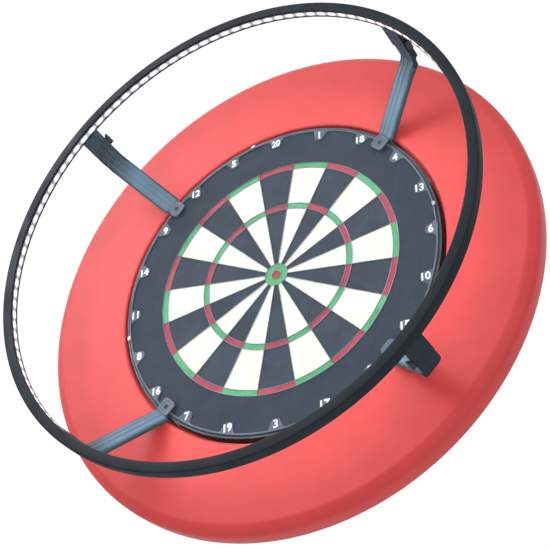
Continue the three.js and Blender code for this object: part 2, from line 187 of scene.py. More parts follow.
def hoop(radius: float, height: float, half_width: float, half_height: float, sides: int, steps: int
         ) -> Shell:
    """Makes a ring of oval wire round the face's axis.

    Args:
        radius: of the wire's middle line.
        height: of the same line.
        half_width: half the wire's width across the line.
        half_height: half its height.
        sides: points round the section.
        steps: stations round the ring.

    Returns:
        The surface.
    """
    a = np.linspace(0.0, FULL_TURN, sides, endpoint=False)
    section = np.stack([radius + half_width * np.cos(a), height + half_height * np.sin(a)], axis=1)
    return lathe(section, steps)


def rounded(corners: Sequence[tuple[float, float]], radius: float | Sequence[float], steps: int = 5
            ) -> Array:
    """Rounds a closed outline's corners.

    Each corner p becomes the curve (1-s)^2 (p + t u) + 2 s (1-s) p + s^2 (p + t v), where u and v point to
    the neighbouring corners and t is the radius over the tangent of half the corner's angle, capped at
    0.45 of the shorter side.

    Args:
        corners: the outline's corners in order.
        radius: one radius, or one for each corner.
        steps: points on each corner's curve.

    Returns:
        (corners x steps, 2) points.
    """
    p = np.asarray(corners, float)
    before, after = np.roll(p, 1, 0) - p, np.roll(p, -1, 0) - p
    reach = np.minimum(np.linalg.norm(before, axis=1), np.linalg.norm(after, axis=1))
    u = before / np.linalg.norm(before, axis=1, keepdims=True)
    v = after / np.linalg.norm(after, axis=1, keepdims=True)
    half = 0.5 * np.arccos(np.clip((u * v).sum(1), -1.0, 1.0))
    t = np.minimum(np.broadcast_to(radius, len(p)) / np.maximum(np.tan(half), 1e-6), 0.45 * reach)
    s = np.linspace(0.0, 1.0, steps)[None, :, None]
    first, last = (p + u * t[:, None])[:, None], (p + v * t[:, None])[:, None]
    return ((1 - s) ** 2 * first + 2 * s * (1 - s) * p[:, None] + s**2 * last).reshape(-1, 2)


def rectangle(half_x: float, half_y: float, radius: float, steps: int) -> Array:
    """Returns the outline of a rectangle about the origin, with rounded corners."""
    corners = [(-half_x, -half_y), (half_x, -half_y), (half_x, half_y), (-half_x, half_y)]
    return rounded(corners, radius, steps)


def inset(outline: Array, distance: float) -> Array:
    """Moves an outline inwards along its normals by a distance."""
    along = np.roll(outline, -1, 0) - np.roll(outline, 1, 0)
    normal = np.stack([along[:, 1], -along[:, 0]], axis=1)
    normal /= np.maximum(np.linalg.norm(normal, axis=1, keepdims=True), 1e-9)
    area = np.cross(outline, np.roll(outline, -1, 0)).sum()
    return outline - normal * distance * np.sign(area)


def stacked(rings: Array, heights: Array) -> Shell:
    """Joins flat outlines, (rings, points, 2), that lie at the given heights, and closes both ends."""
    z = np.broadcast_to(heights[:, None, None], (*rings.shape[:2], 1))
    return grid(np.concatenate([rings, z], axis=-1), loop=False, capped=True).outward()


def slab(outline: Array, low: float, high: float, edge: float) -> Shell:
    """Raises an outline into a plate whose two rims are quarter rounds.

    Ring k of a rim lies edge (1 - sin q) further in and edge (1 - cos q) from the face, q from 0 to 90
    degrees.

    Args:
        outline: (n, 2) closed outline.
        low: height of its under side.
        high: height of its upper side.
        edge: radius of the rims.

    Returns:
        The closed plate.
    """
    q = np.linspace(0.0, QUARTER, 4)
    insets = np.concatenate([edge * (1 - np.sin(q)), edge * (1 - np.cos(q))])
    heights = np.concatenate([low + edge * (1 - np.cos(q)), high - edge * (1 - np.sin(q))])
    return stacked(np.stack([inset(outline, d) for d in insets]), heights)


def plank(outline: Array, half_width: float) -> Shell:
    """Returns a slab whose outline lies in radius and height, as wide across as twice half_width."""
    flat = slab(outline, -half_width, half_width, 0.3)
    flat.points = flat.points[:, [0, 2, 1]]
    return flat.outward()


# Objects


def to_row(points: Array) -> Array:
    """Turns face-frame millimetres into the row's metres: (x, -z - wall distance, y) / 1000."""
    return np.stack([points[:, 0], -points[:, 2] - FACE_TO_WALL, points[:, 1]], axis=1) / 1000.0


def mesh_of(name: str, shell: Shell) -> bpy.types.Mesh:
    """Returns a new mesh with the surface's points and faces."""
    mesh = bpy.data.meshes.new(name)
    mesh.from_pydata(to_row(shell.points).tolist(), [], shell.quads.tolist() + shell.caps)
    return mesh


def linked(name: str, data: bpy.types.ID) -> bpy.types.Object:
    """Returns a new object that holds the data and stands in the scene."""
    thing = bpy.data.objects.new(name, data)
    bpy.context.scene.collection.objects.link(thing)
    return thing


def node_of(tree: bpy.types.NodeTree, kind: str) -> bpy.types.Node:
    """Returns the tree's first node of a kind."""
    return next(node for node in tree.nodes if node.type == kind)


@dataclass(frozen=True)
class Fitting:
    """Where a new piece belongs: the body it moves with, its record slot and the nodes it stands for."""

    body: str
    slot: str
    nodes: tuple[str, ...] = ()

    def fit(self, piece: bpy.types.Object) -> bpy.types.Object:
        """Fits the piece to its body, hides the nodes it stands for, and reports it.

        Args:
            piece: a finished object at the origin.

        Returns:
            The same object.
        """
        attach(piece, self.body)
        if self.nodes:
            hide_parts(*self.nodes)
        LOG.info("%s rides on %s, %d faces", piece.name, self.body, len(piece.data.polygons))
        return piece


def dress(piece: bpy.types.Object, materials: Sequence[bpy.types.Material]) -> None:
    """Gives an object its materials in order, in place of any it had."""
    while len(piece.data.materials) > 0:
        piece.data.materials.pop()
    for material in materials:
        piece.data.materials.append(material)


def make(name: str, shell: Shell, fitting: Fitting, materials: Sequence[bpy.types.Material],
         crease: float = 32.0) -> bpy.types.Object:
    """Makes a piece from a surface.

    Args:
        name: the piece's name.
        shell: its surface in the face frame.
        fitting: where it belongs.
        materials: its materials, by the shell's sorts.
        crease: edges sharper than this many degrees stay sharp.

    Returns:
        The new object, with its place in its mesh.
    """
    shell = shell.outward()
    mesh = mesh_of(name, shell)
    if shell.sorts is not None:
        sorts = np.concatenate([shell.sorts, np.zeros(len(shell.caps), int)])
        mesh.polygons.foreach_set("material_index", sorts.astype(np.int32))
    for mark, values in shell.marks.items():
        mesh.attributes.new(mark, "FLOAT", "POINT").data.foreach_set("value", values.astype(np.float32))
    work = bmesh.new()
    work.from_mesh(mesh)
    bmesh.ops.remove_doubles(work, verts=work.verts, dist=WELD_REACH)
    work.to_mesh(mesh)
    work.free()
    mesh.shade_smooth()
    mesh.set_sharp_from_angle(angle=np.deg2rad(crease))
    piece = linked(name, mesh)
    dress(piece, materials)
    return fitting.fit(piece)


def softened(node: str, name: str, body: str, slot: str, material: bpy.types.Material,
             inner: bpy.types.Material | None = None, extra: Shell | None = None) -> bpy.types.Object:
    """Makes a piece from a copy of a CAD node, with its flats merged and its outward edges rounded.

    Args:
        node: the CAD node that the piece stands for.
        name: the piece's name.
        body: the body it moves with.
        slot: its record slot.
        material: its finish.
        inner: the finish of the faces that look at the board's axis, if it differs; painted light and shade.
        extra: relief to add to the moulding, in the face frame, with the inner finish.

    Returns:
        The new object.
    """
    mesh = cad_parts[node].data.copy()
    mesh.name = name
    mesh.materials.clear()
    for finish in [material] if inner is None else [material, inner]:
        mesh.materials.append(finish)
    work = bmesh.new()
    work.from_mesh(mesh)
    bmesh.ops.remove_doubles(work, verts=work.verts, dist=5.0 * WELD_REACH)
    bmesh.ops.dissolve_limit(work, angle_limit=np.deg2rad(FLAT_TURN), verts=work.verts, edges=work.edges)
    weight = work.edges.layers.float.new("bevel_weight_edge")
    for line in work.edges:
        line[weight] = float(line.is_convex and line.calc_face_angle(0.0) > np.deg2rad(SHARP_TURN))
    # Faces that look at the board's axis take the inner finish; on the sockets this is painted light and
    # shade by facing.
    for face in work.faces:
        out = face.calc_center_median() * Vector((1.0, 0.0, 1.0))
        face.material_index = int(inner is not None and face.normal.dot(out.normalized()) < -0.7)
    if extra is not None:
        relief = mesh_of(f"{name}_relief", extra.outward())
        relief.polygons.foreach_set("material_index", np.ones(len(relief.polygons), np.int32))
        work.from_mesh(relief)
        bpy.data.meshes.remove(relief)
    work.to_mesh(mesh)
    work.free()
    for layer in list(mesh.attributes):
        if layer.name == "custom_normal":
            mesh.attributes.remove(layer)
    piece = linked(name, mesh)
    bevel = piece.modifiers.new("rounded edges", "BEVEL")
    bevel.width = EDGE_WIDTH / 1000.0
    bevel.segments = EDGE_STEPS
    bevel.limit_method = "WEIGHT"
    bevel.harden_normals = True
    mesh.shade_smooth()
    mesh.set_sharp_from_angle(angle=np.deg2rad(CREASE_TURN))
    return Fitting(body, slot, (node,)).fit(piece)


# Finishes


@dataclass
class Wiring:
    """A node tree that is being wired."""

    tree: bpy.types.NodeTree

    def add(self, kind: str, inputs: dict[str | int, Any] | None = None, **settings: Any) -> bpy.types.Node:
        """Adds a node.

        Args:
            kind: the node's type.
            inputs: a value or a socket to link for each named or numbered input.
            settings: the node's own properties.

        Returns:
            The node.
        """
        node = self.tree.nodes.new(kind)
        for key, value in settings.items():
            setattr(node, key, value)
        self.feed(node, inputs or {})
        return node

    def feed(self, node: bpy.types.Node, inputs: dict[str | int, Any]) -> None:
        """Links each socket to the node's input of that name or number, or puts the plain value on it."""
        for key, value in inputs.items():
            if isinstance(value, bpy.types.NodeSocket):
                self.tree.links.new(value, node.inputs[key])
            elif node.inputs[key].type == "RGBA":
                node.inputs[key].default_value = (*value, 1.0)
            else:
                node.inputs[key].default_value = value

    def group(self, tree: bpy.types.NodeTree, inputs: dict[str | int, Any]) -> bpy.types.NodeOutputs:
        """Adds a shared effect with its inputs, and returns its outputs."""
        return self.add("ShaderNodeGroup", inputs, node_tree=tree).outputs

    def mark(self, name: str) -> bpy.types.NodeSocket:
        """Returns the mark of that name on the piece's points."""
        return self.add("ShaderNodeAttribute", attribute_name=name).outputs["Fac"]

    def noise(self, place: Any, scale: float, detail: float, roughness: float = 0.5
              ) -> bpy.types.NodeSocket:
        """Returns a noise about its mean of 0.5, with so many features in a metre."""
        return self.add("ShaderNodeTexNoise", {"Vector": place, "Scale": scale, "Detail": detail,
                                               "Roughness": roughness}).outputs[0]

    def math(self, operation: str, a: Any, b: Any = 0.0) -> bpy.types.NodeSocket:
        """Returns the result of a Math node, kept between 0 and 1."""
        return self.add("ShaderNodeMath", {0: a, 1: b}, operation=operation, use_clamp=True).outputs[0]

    def ranged(self, value: Any, low: Any, high: Any) -> bpy.types.NodeSocket:
        """Returns 0 where value is low, 1 where it is high, and a smooth step between."""
        found = self.add("ShaderNodeMapRange", {"Value": value, "From Min": low, "From Max": high},
                         interpolation_type="SMOOTHSTEP")
        return found.outputs[0]

    def run(self, share: Any, low: Any, high: Any) -> bpy.types.NodeSocket:
        """Returns low where share is 0, high where it is 1, and a straight run between."""
        found = self.add("ShaderNodeMapRange", {"Value": share, "To Min": low, "To Max": high})
        return found.outputs[0]

    def blend(self, share: Any, a: Any, b: Any) -> bpy.types.NodeSocket:
        """Returns number a where share is 0 and number b where it is 1."""
        return self.add("ShaderNodeMix", {0: share, 2: a, 3: b}, data_type="FLOAT").outputs[0]

    def mixed(self, share: Any, a: Any, b: Any) -> bpy.types.NodeSocket:
        """Returns colour a where share is 0 and colour b where it is 1."""
        return self.add("ShaderNodeMix", {0: share, 6: a, 7: b}, data_type="RGBA").outputs[2]


class EffectGroups:
    """The effects that several finishes share, each a node group made once."""

    def __init__(self) -> None:
        """Makes the four groups."""
        self.fibres = self._fibres()
        self.spark = self._spark()
        self.wear = self._wear()
        self.dust = self._dust()

    @staticmethod
    def _start(name: str, inputs: Sequence[tuple[str, str]], outputs: Sequence[tuple[str, str]]
               ) -> tuple[Wiring, bpy.types.NodeOutputs, bpy.types.Node]:
        """Starts a group.

        Args:
            name: its name.
            inputs: name and sort of each input.
            outputs: name and sort of each output.

        Returns:
            The wiring, the sockets that carry the group's inputs and its output node.
        """
        tree = bpy.data.node_groups.new(name, "ShaderNodeTree")
        for way, sockets in (("INPUT", inputs), ("OUTPUT", outputs)):
            for label, sort in sockets:
                tree.interface.new_socket(name=label, in_out=way, socket_type="NodeSocket" + sort)
        wiring = Wiring(tree)
        return wiring, wiring.add("NodeGroupInput").outputs, wiring.add("NodeGroupOutput")

    def _fibres(self) -> bpy.types.NodeTree:
        """Returns packed fibre ends: a light and a dark colour by cell, mottled slowly, and their relief."""
        w, given, out = self._start(
            "fibre_ends",
            [("Vector", "Vector"), ("Scale", "Float"), ("Light", "Color"), ("Dark", "Color"),
             ("Mottle", "Float")],
            [("Colour", "Color"), ("Height", "Float")],
        )
        cells = w.add("ShaderNodeTexVoronoi", {"Vector": given["Vector"], "Scale": given["Scale"],
                                               "Randomness": 1.0}).outputs
        split = w.add("ShaderNodeSeparateColor", {0: cells["Color"]})
        cloud = w.ranged(w.noise(given["Vector"], 34.0, 4.0, 0.6), 0.34, 0.68)
        spread = w.blend(given["Mottle"], split.outputs[0], cloud)
        w.feed(out, {"Colour": w.mixed(spread, given["Light"], given["Dark"]),
                     "Height": w.math("SUBTRACT", 1.0, cells["Distance"])})
        return w.tree

    def _spark(self) -> bpy.types.NodeTree:
        """Returns the fine texture of a mould's wall: its relief and a slow unevenness from 0 to 1."""
        w, given, out = self._start(
            "mould_texture",
            [("Vector", "Vector"), ("Scale", "Float")],
            [("Height", "Float"), ("Uneven", "Float")],
        )
        slow = w.noise(given["Vector"], 22.0, 3.0)
        w.feed(out, {"Height": w.noise(given["Vector"], given["Scale"], 5.0, 0.65),
                     "Uneven": w.ranged(slow, 0.3, 0.7)})
        return w.tree

    def _wear(self) -> bpy.types.NodeTree:
        """Returns rubbed edges: the worn colour where the edge mark and a broken noise are both high."""
        w, given, out = self._start(
            "rubbed_edges",
            [("Vector", "Vector"), ("Edge", "Float"), ("Base", "Color"), ("Worn", "Color"),
             ("Amount", "Float")],
            [("Colour", "Color"), ("Mask", "Float")],
        )
        patch = w.ranged(w.noise(given["Vector"], 160.0, 6.0, 0.7), 0.38, 0.66)
        mask = w.math("MULTIPLY", w.math("MULTIPLY", patch, given["Edge"]), given["Amount"])
        w.feed(out, {"Colour": w.mixed(mask, given["Base"], given["Worn"]), "Mask": mask})
        return w.tree

    def _dust(self) -> bpy.types.NodeTree:
        """Returns a thin film of dust on what faces up, in soft patches."""
        w, given, out = self._start(
            "settled_dust", [("Vector", "Vector"), ("Colour", "Color"), ("Amount", "Float")],
            [("Colour", "Color")],
        )
        facing = w.add("ShaderNodeNewGeometry")
        up = w.add("ShaderNodeSeparateXYZ", {0: facing.outputs["Normal"]})
        cloud = w.ranged(w.noise(given["Vector"], 55.0, 6.0, 0.62), 0.35, 0.7)
        patch = w.math("MULTIPLY", cloud, w.ranged(up.outputs[2], 0.25, 0.95))
        mask = w.math("MULTIPLY", patch, given["Amount"])
        w.feed(out, {"Colour": w.mixed(mask, given["Colour"], (0.55, 0.53, 0.5))})
        return w.tree


@dataclass(frozen=True)
class Finish:
    """What every finish states: its name, its colour and how rough it is."""

    name: str
    colour: Colour
    roughness: float

    def start(self) -> tuple[bpy.types.Material, Wiring, bpy.types.Node, bpy.types.NodeSocket]:
        """Returns a new material, its wiring, its shader and its Object coordinates."""
        material = bpy.data.materials.new(self.name)
        material.use_nodes = True
        material.diffuse_color = (*self.colour, 1.0)
        wiring = Wiring(material.node_tree)
        shader = node_of(material.node_tree, "BSDF_PRINCIPLED")
        wiring.feed(shader, {"Base Color": self.colour, "Roughness": self.roughness})
        return material, wiring, shader, wiring.add("ShaderNodeTexCoord").outputs["Object"]

    @staticmethod
    def relief(w: Wiring, height: bpy.types.NodeSocket, strength: float, depth_mm: float
               ) -> bpy.types.NodeSocket:
        """Works out a bumped normal.

        Args:
            w: the material's wiring.
            height: from 0 to 1.
            strength: how strongly it shows.
            depth_mm: how far 1 stands above 0.

        Returns:
            The normal.
        """
        return w.add("ShaderNodeBump", {"Strength": strength, "Distance": depth_mm / 1000.0,
                                        "Height": height}).outputs[0]

    def rougher(self, w: Wiring, mask: bpy.types.NodeSocket, more: float) -> bpy.types.NodeSocket:
        """Returns a roughness: the finish's own where mask is 0, and so much more where it is 1."""
        return w.run(mask, self.roughness, min(1.0, self.roughness + more))

    @staticmethod
    def weathered(w: Wiring, groups: EffectGroups, place: bpy.types.NodeSocket,
                  base: bpy.types.NodeSocket, worn: Colour, wear: float, dust: float
                  ) -> tuple[bpy.types.NodeSocket, bpy.types.NodeSocket]:
        """Rubs the marked edges and settles dust on top.

        Args:
            w: the material's wiring.
            groups: the shared effects.
            place: the Object coordinates.
            base: the colour before wear.
            worn: the colour of a rubbed edge.
            wear: how strongly the edges are rubbed.
            dust: how much dust lies on top.

        Returns:
            The colour, and the mask of the rubbed edges.
        """
        rubbed = w.group(groups.wear, {"Vector": place, "Edge": w.mark("edge"), "Base": base, "Worn": worn,
                                       "Amount": wear})
        dusty = w.group(groups.dust, {"Vector": place, "Colour": rubbed["Colour"], "Amount": dust})
        return dusty["Colour"], rubbed["Mask"]


@dataclass(frozen=True)
class Sisal(Finish):
    """Dyed sisal, end grain up: packed fibre ends, with a warmer bloom in the outer beds if it has one."""

    dark: Colour = (0.0, 0.0, 0.0)
    bloom: Colour | None = None

    def build(self, groups: EffectGroups) -> bpy.types.Material:
        """Returns the material."""
        material, w, shader, place = self.start()
        ends = w.group(groups.fibres, {"Vector": place, "Scale": 1350.0, "Mottle": 0.35,
                                       "Light": self.colour, "Dark": self.dark})
        colour = ends["Colour"]
        if self.bloom is not None:
            split = w.add("ShaderNodeSeparateXYZ", {0: place})
            flat = w.add("ShaderNodeCombineXYZ", {0: split.outputs[0], 2: split.outputs[2]})
            reach = w.add("ShaderNodeVectorMath", {0: flat.outputs[0]}, operation="LENGTH")
            band = w.ranged(reach.outputs["Value"], 0.104, 0.135)
            share = w.math("MULTIPLY", band, w.ranged(w.noise(place, 19.0, 3.0), 0.36, 0.62))
            colour = w.mixed(share, colour, self.bloom)
        w.feed(shader, {"Base Color": colour, "Sheen Weight": 0.12, "Sheen Roughness": 0.6,
                        "Specular IOR Level": 0.2, "Normal": self.relief(w, ends["Height"], 0.6, 0.35)})
        return material


@dataclass(frozen=True)
class Foam(Finish):
    """Dense moulded foam with a tight skin: fine pores, a slow unevenness of dye and a soft sheen."""

    deep: Colour = (0.0, 0.0, 0.0)

    def build(self, groups: EffectGroups) -> bpy.types.Material:
        """Returns the material."""
        material, w, shader, place = self.start()
        skin = w.group(groups.spark, {"Vector": place, "Scale": 900.0})
        pores = w.add("ShaderNodeTexVoronoi", {"Vector": place, "Scale": 620.0})
        shade = w.math("MULTIPLY", skin["Uneven"], 0.7)
        speck = w.ranged(pores.outputs["Distance"], 0.02, 0.16)
        height = w.math("MULTIPLY", skin["Height"], speck)
        # Painted shade in the pores: their centres, where the relief sinks, lean towards the deep colour.
        w.feed(shader, {"Base Color": w.mixed(w.blend(speck, 0.75, shade), self.colour, self.deep),
                        "Sheen Weight": 0.45, "Sheen Roughness": 0.4, "Sheen Tint": (1.0, 0.60, 0.62),
                        "Normal": self.relief(w, height, 0.45, 0.3)})
        return material


@dataclass(frozen=True)
class Moulded(Finish):
    """Moulded plastic: a mould's fine texture, rubbed edges and a little dust on top.

    Where the piece has a shade mark, the colour runs towards the deep one: painted shade.
    """

    worn: Colour = (0.3, 0.3, 0.3)
    deep: Colour | None = None
    grain: float = 1500.0
    wear: float = 0.3
    dust: float = 0.25
    relief_mm: float = 0.12
    shine: float = 0.5

    def build(self, groups: EffectGroups) -> bpy.types.Material:
        """Returns the material."""
        material, w, shader, place = self.start()
        texture = w.group(groups.spark, {"Vector": place, "Scale": self.grain})
        base = w.mixed(texture["Uneven"], self.colour, tuple(0.82 * c for c in self.colour))
        # Painted shade: the shade mark runs the colour towards the deep one.
        if self.deep is not None:
            base = w.mixed(w.mark("shade"), base, self.deep)
        colour, _ = self.weathered(w, groups, place, base, self.worn, self.wear, self.dust)
        w.feed(shader, {"Base Color": colour, "Roughness": self.rougher(w, texture["Uneven"], 0.14),
                        "Specular IOR Level": self.shine,
                        "Normal": self.relief(w, texture["Height"], 0.35, self.relief_mm)})
        return material


@dataclass(frozen=True)
class Steel(Finish):
    """Bare drawn or pressed steel: faint drawing lines and patches of dulling."""

    dull: Colour = (0.3, 0.3, 0.3)

    def build(self, groups: EffectGroups) -> bpy.types.Material:
        """Returns the material."""
        material, w, shader, place = self.start()
        long = w.add("ShaderNodeMapping", {0: place, "Scale": (1.0, 12.0, 1.0)})
        lines = w.group(groups.spark, {"Vector": long.outputs[0], "Scale": 700.0})
        w.feed(shader, {"Base Color": w.mixed(lines["Uneven"], self.colour, self.dull), "Metallic": 1.0,
                        "Roughness": self.rougher(w, lines["Uneven"], 0.2),
                        "Normal": self.relief(w, lines["Height"], 0.15, 0.05)})
        return material


@dataclass(frozen=True)
class Paint(Finish):
    """Paint or powder coat on steel: orange peel, and bare metal showing where edges are rubbed."""

    bare: Colour = (0.5, 0.5, 0.5)
    peel: float = 380.0
    wear: float = 0.6

    def build(self, groups: EffectGroups) -> bpy.types.Material:
        """Returns the material."""
        material, w, shader, place = self.start()
        skin = w.group(groups.spark, {"Vector": place, "Scale": self.peel})
        base = w.mixed(skin["Uneven"], self.colour, tuple(0.75 * c for c in self.colour))
        colour, mask = self.weathered(w, groups, place, base, self.bare, self.wear, 0.2)
        w.feed(shader, {"Base Color": colour, "Metallic": mask,
                        "Roughness": self.rougher(w, skin["Uneven"], 0.12),
                        "Normal": self.relief(w, skin["Height"], 0.2, 0.12)})
        return material


@dataclass(frozen=True)
class Fibreboard(Finish):
    """Pressed board: short chips of two browns laid flat, with a dull skin."""

    chip: Colour = (0.3, 0.2, 0.1)

    def build(self, groups: EffectGroups) -> bpy.types.Material:
        """Returns the material."""
        material, w, shader, place = self.start()
        long = w.add("ShaderNodeMapping", {0: place, "Scale": (1.0, 1.0, 0.3)})
        chips = w.group(groups.fibres, {"Vector": long.outputs[0], "Scale": 420.0, "Mottle": 0.4,
                                        "Light": self.chip, "Dark": self.colour})
        w.feed(shader, {"Base Color": chips["Colour"],
                        "Normal": self.relief(w, chips["Height"], 0.3, 0.25)})
        return material


@dataclass(frozen=True)
class Lit(Finish):
    """Something lit from behind: bright where its glow mark is 1 and dimmer away from the lamps.

    It is shown at the seen strength, below the strength with which it lights the rest.
    """

    dim: Colour = (0.3, 0.3, 0.3)
    strength: float = 10.0
    seen: float = 1.5

    def build(self, groups: EffectGroups) -> bpy.types.Material:
        """Returns the material."""
        material, w, shader, place = self.start()
        ripple = w.group(groups.spark, {"Vector": place, "Scale": 600.0})
        share = w.math("MULTIPLY", w.mark("glow"), w.run(ripple["Height"], 0.92, 1.0))
        path = w.add("ShaderNodeLightPath").outputs["Is Camera Ray"]
        w.feed(shader, {"Emission Color": w.mixed(share, self.dim, (1.0, 1.0, 1.0)),
                        "Emission Strength": w.run(path, self.strength, self.seen),
                        "Normal": self.relief(w, ripple["Height"], 0.2, 0.1)})
        return material


class FinishRack:
    """Every finish of the object, made once."""

    def __init__(self) -> None:
        """Makes the groups and the materials."""
        groups = EffectGroups()
        self.beds = [
            Sisal("sisal_black", (0.050, 0.068, 0.100), 0.9, dark=(0.020, 0.030, 0.046)).build(groups),
            Sisal("sisal_cream", (0.80, 0.81, 0.78), 0.88, dark=(0.66, 0.66, 0.60),
                  bloom=(0.80, 0.76, 0.62)).build(groups),
            Sisal("sisal_red", (0.50, 0.082, 0.126), 0.88, dark=(0.27, 0.038, 0.063)).build(groups),
            Sisal("sisal_green", (0.137, 0.49, 0.258), 0.88, dark=(0.063, 0.27, 0.124)).build(groups),
            Sisal("sisal_border", (0.030, 0.045, 0.071), 0.85, dark=(0.018, 0.027, 0.043)).build(groups),
        ]
        self.foam = Foam("surround_foam", (0.685, 0.044, 0.044), 0.55,
                         deep=(0.625, 0.038, 0.038)).build(groups)
        self.band = Paint("band_black", (0.012, 0.015, 0.020), 0.3, wear=0.08).build(groups)
        self.bracket = Paint("bracket_powder", (0.02, 0.021, 0.023), 0.5, peel=900.0, wear=0.3).build(groups)
        self.wire = Steel("spider_wire", (0.42, 0.44, 0.46), 0.4, dull=(0.28, 0.30, 0.32)).build(groups)
        self.clip = Steel("spring_steel", (0.42, 0.43, 0.45), 0.32, dull=(0.28, 0.29, 0.31)).build(groups)
        self.zinc = Steel("zinc_plate", (0.58, 0.58, 0.56), 0.38, dull=(0.42, 0.42, 0.40)).build(groups)
        self.badge = Moulded("badge_smoke", (0.066, 0.100, 0.147), 0.5, worn=(0.12, 0.13, 0.15),
                             wear=0.2, dust=0.05).build(groups)
        self.badge_rim = Moulded("badge_rim", (0.105, 0.142, 0.190), 0.45, worn=(0.2, 0.22, 0.25),
                                 wear=0.2, dust=0.05).build(groups)
        self.numeral = Moulded("numeral_white", (0.82, 0.84, 0.86), 0.4, worn=(0.6, 0.6, 0.6),
                               wear=0.0, dust=0.1).build(groups)
        self.ring = Moulded("ring_black", (0.010, 0.017, 0.026), 0.5, worn=(0.03, 0.035, 0.04),
                            wear=0.25, dust=0.02, relief_mm=0.015, shine=0.2).build(groups)
        # The leg's deep colour is painted shade, laid on along its shade mark towards the ring.
        self.leg = Moulded("leg_grey", (0.124, 0.213, 0.298), 0.48, worn=(0.20, 0.25, 0.30),
                           deep=(0.046, 0.084, 0.115), wear=0.3, dust=0.06).build(groups)
        # A darker copy of the leg's colour, put on its bevelled sides, the back of its slope and the
        # sockets' faces towards the axis: painted shade.
        self.leg_shade = Moulded("leg_painted_shade", (0.046, 0.084, 0.115), 0.5, worn=(0.14, 0.17, 0.20),
                                 wear=0.2, dust=0.03, shine=0.3).build(groups)
        # The sockets' own near-black; it also colours the sides and back of the legs' bend and upright as
        # painted shade.
        self.socket = Moulded("socket_black", (0.020, 0.035, 0.048), 0.55, worn=(0.06, 0.07, 0.08),
                              dust=0.02, shine=0.2).build(groups)
        self.cap = Moulded("cap_grey", (0.076, 0.113, 0.170), 0.45, worn=(0.16, 0.19, 0.22),
                           wear=0.35, dust=0.04).build(groups)
        self.rubber = Moulded("rubber_black", (0.012, 0.012, 0.013), 0.8, worn=(0.05, 0.05, 0.05),
                              grain=700.0, relief_mm=0.25, dust=0.4).build(groups)
        self.board = Fibreboard("fibreboard", (0.10, 0.062, 0.034), 0.85,
                                chip=(0.23, 0.15, 0.085)).build(groups)
        self.cover = Lit("light_cover", (0.10, 0.12, 0.15), 0.25, dim=(0.004, 0.006, 0.008),
                         strength=84.0, seen=2.2).build(groups)
        self.lamp = Lit("lamp_lens", (1.0, 1.0, 0.96), 0.3, dim=(0.10, 0.10, 0.10),
                        strength=4.0).build(groups)
        self.screw = Steel("black_oxide", (0.055, 0.065, 0.075), 0.5,
                           dull=(0.035, 0.042, 0.05)).build(groups)
        self.catch = Moulded("catch_grey", (0.040, 0.055, 0.070), 0.5, worn=(0.12, 0.14, 0.16),
                             dust=0.03, shine=0.3).build(groups)
        self.strip = Moulded("strip_white", (0.78, 0.80, 0.82), 0.5, worn=(0.5, 0.5, 0.5),
                             wear=0.0).build(groups)


# Sub-assemblies


